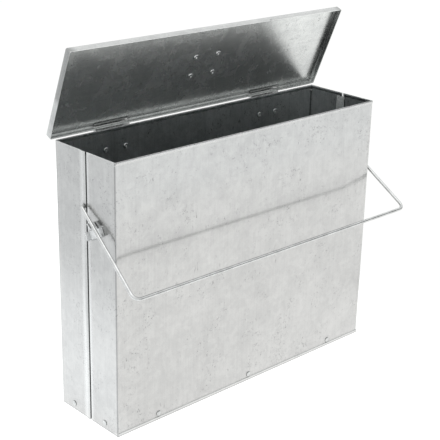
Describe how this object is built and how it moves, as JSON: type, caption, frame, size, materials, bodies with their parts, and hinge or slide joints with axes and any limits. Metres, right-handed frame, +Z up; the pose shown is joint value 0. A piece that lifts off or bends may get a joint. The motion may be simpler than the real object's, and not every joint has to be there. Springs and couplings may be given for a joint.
{
  "type": "galvanised feed box with lid and bail",
  "caption": "Tall, slim galvanised sheet-steel feed box, open at the top, with a hinged tray lid, a ring pull and a swinging wire bail that rests on side clips.",
  "frame": {"origin": "centre of the flat base, on the surface that the box stands on", "axes": "+Z up, +X along the box's width, -Y towards the front panel that the bail swings in front of"},
  "size_m": [0.5464, 0.2078, 0.5323],
  "materials": {
    "galvanised_sheet": "galvanised sheet, satin, lightly mottled and scuffed",
    "pressed_fittings": "zinc plated pressed steel, satin",
    "zinc_wire": "bright galvanised drawn wire",
    "zinc_rivet": "zinc plated, semi-bright"
  },
  "bodies": {
    "box": {"bail_stop_left": "pressed_fittings", "bail_stop_right": "pressed_fittings", "bail_stop_rivet_left": "zinc_rivet", "bail_stop_rivet_right": "zinc_rivet", "base_pan": "galvanised_sheet", "base_rivet_front_left": "zinc_rivet", "base_rivet_front_middle": "zinc_rivet", "base_rivet_front_right": "zinc_rivet", "base_rivet_left_end_front": "zinc_rivet", "base_rivet_left_end_rear": "zinc_rivet", "base_rivet_rear_left": "zinc_rivet", "base_rivet_rear_middle": "zinc_rivet", "base_rivet_rear_right": "zinc_rivet", "base_rivet_right_end_front": "zinc_rivet", "base_rivet_right_end_rear": "zinc_rivet", "front_shell": "galvanised_sheet", "hinge_left_body_leaf": "pressed_fittings", "hinge_left_pin": "zinc_wire", "hinge_left_rivet_inner": "zinc_rivet", "hinge_left_rivet_outer": "zinc_rivet", "hinge_right_body_leaf": "pressed_fittings", "hinge_right_pin": "zinc_wire", "hinge_right_rivet_inner": "zinc_rivet", "hinge_right_rivet_outer": "zinc_rivet", "rear_shell": "galvanised_sheet", "seam_strip_left": "galvanised_sheet", "seam_strip_right": "galvanised_sheet"},
    "bail": {"bail_wire": "zinc_wire"},
    "lid": {"hinge_left_lid_leaf": "pressed_fittings", "hinge_right_lid_leaf": "pressed_fittings", "lid_panel": "galvanised_sheet", "lid_pull_plate": "pressed_fittings", "lid_pull_rivet_front_left": "zinc_rivet", "lid_pull_rivet_front_right": "zinc_rivet", "lid_pull_rivet_rear_left": "zinc_rivet", "lid_pull_rivet_rear_right": "zinc_rivet"},
    "pull_ring": {"lid_pull_ring": "zinc_wire"}
  },
  "joints": [
    {"name": "lid_hinge", "type": "hinge", "parent": "box", "child": "lid", "pos_m": [0, 0.07415, 0.398], "axis": [-1, 0, 0], "range_deg": [-68.2, 181.8]},
    {"name": "bail_pivot", "type": "hinge", "parent": "box", "child": "bail", "pos_m": [0, 0, 0.3245], "axis": [-1, 0, 0], "range_deg": [0, 134]},
    {"name": "pull_ring_hinge", "type": "hinge", "parent": "lid", "child": "pull_ring", "pos_m": [0, 0.04991, 0.48001], "axis": [1, 0, 0], "range_deg": [0, 178]}
  ]
}
